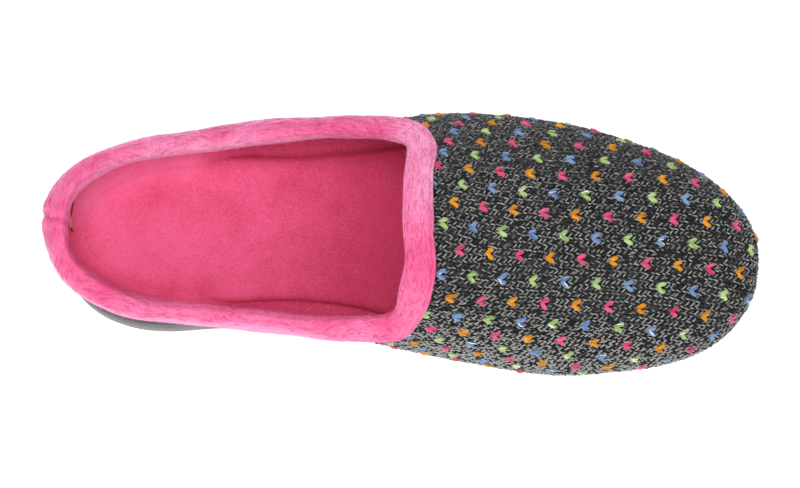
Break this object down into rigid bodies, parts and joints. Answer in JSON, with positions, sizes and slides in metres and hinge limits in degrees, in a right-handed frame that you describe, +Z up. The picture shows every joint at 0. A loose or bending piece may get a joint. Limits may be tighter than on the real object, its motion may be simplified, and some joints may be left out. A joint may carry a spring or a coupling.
{
  "type": "mule slipper",
  "caption": "Left-foot backless mule slipper with a hollow knitted vamp, a plush padded collar around the foot opening, a plush footbed and a low rubber sole.",
  "frame": {"origin": "centre of the bounding box at floor level", "axes": "+X from the heel to the toe, +Y towards the outer side of the left foot, +Z up"},
  "size_m": [0.2606, 0.094, 0.0848],
  "materials": {
    "outsole": "matt grey moulded rubber",
    "upper": "charcoal marl knit with small coloured stitches",
    "collar": "pink short-pile plush",
    "insole": "deep pink short-pile plush"
  },
  "bodies": {
    "root": {"outsole": "outsole", "upper": "upper", "collar": "collar", "insole": "insole"}
  },
  "joints": []
}
